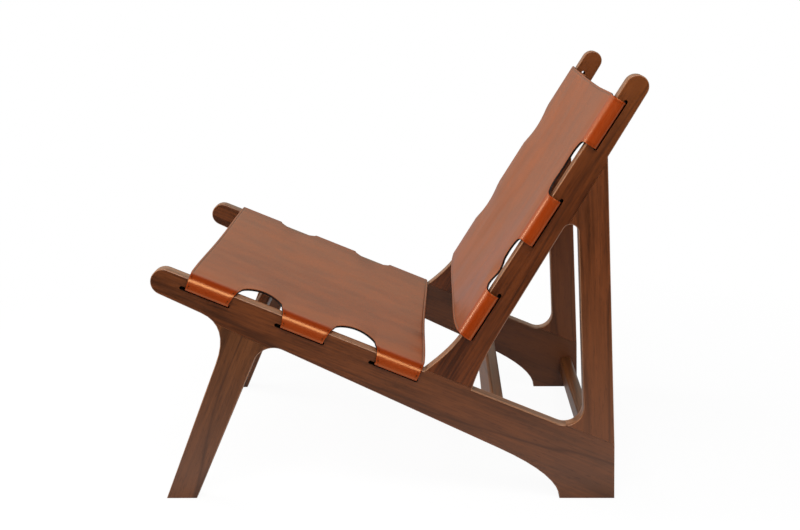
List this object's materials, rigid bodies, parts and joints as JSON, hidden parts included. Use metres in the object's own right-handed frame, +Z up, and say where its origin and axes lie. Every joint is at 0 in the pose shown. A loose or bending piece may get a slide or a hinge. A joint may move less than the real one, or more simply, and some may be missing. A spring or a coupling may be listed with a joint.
{
  "type": "leather sling lounge chair",
  "caption": "Low lounge chair with flat walnut side frames and tan saddle-leather seat and back slings, their tabs threaded through slots in the rails",
  "frame": {"origin": "centre of the bounding box at floor level", "axes": "+Z up, the chair faces -Y, +X is the sitter's left"},
  "size_m": [0.6376, 0.805, 0.709],
  "materials": {
    "walnut": "oiled walnut, satin, with rounded edges",
    "saddle_leather": "thick tan saddle leather with dark burnished edges",
    "beech": "plain beech, unfinished"
  },
  "bodies": {
    "root": {"left_seat_rail": "walnut", "left_front_leg": "walnut", "left_back_rail": "walnut", "left_rear_post": "walnut", "right_seat_rail": "walnut", "right_front_leg": "walnut", "right_back_rail": "walnut", "right_rear_post": "walnut", "front_stretcher": "walnut", "middle_stretcher": "walnut", "rear_stretcher": "walnut", "seat_sling": "saddle_leather", "back_sling": "saddle_leather", "left_seat_rod_1": "beech", "left_seat_rod_2": "beech", "left_seat_rod_3": "beech", "left_back_rod_1": "beech", "left_back_rod_2": "beech", "left_back_rod_3": "beech", "left_leg_tenon": "beech", "left_back_foot_tenon": "beech", "left_post_foot_tenon": "beech", "left_post_top_tenon": "beech", "front_stretcher_left_dowel_1": "beech", "front_stretcher_left_dowel_2": "beech", "middle_stretcher_left_dowel_1": "beech", "middle_stretcher_left_dowel_2": "beech", "rear_stretcher_left_dowel_1": "beech", "rear_stretcher_left_dowel_2": "beech", "right_seat_rod_1": "beech", "right_seat_rod_2": "beech", "right_seat_rod_3": "beech", "right_back_rod_1": "beech", "right_back_rod_2": "beech", "right_back_rod_3": "beech", "right_leg_tenon": "beech", "right_back_foot_tenon": "beech", "right_post_foot_tenon": "beech", "right_post_top_tenon": "beech", "front_stretcher_right_dowel_1": "beech", "front_stretcher_right_dowel_2": "beech", "middle_stretcher_right_dowel_1": "beech", "middle_stretcher_right_dowel_2": "beech", "rear_stretcher_right_dowel_1": "beech", "rear_stretcher_right_dowel_2": "beech"}
  },
  "joints": []
}
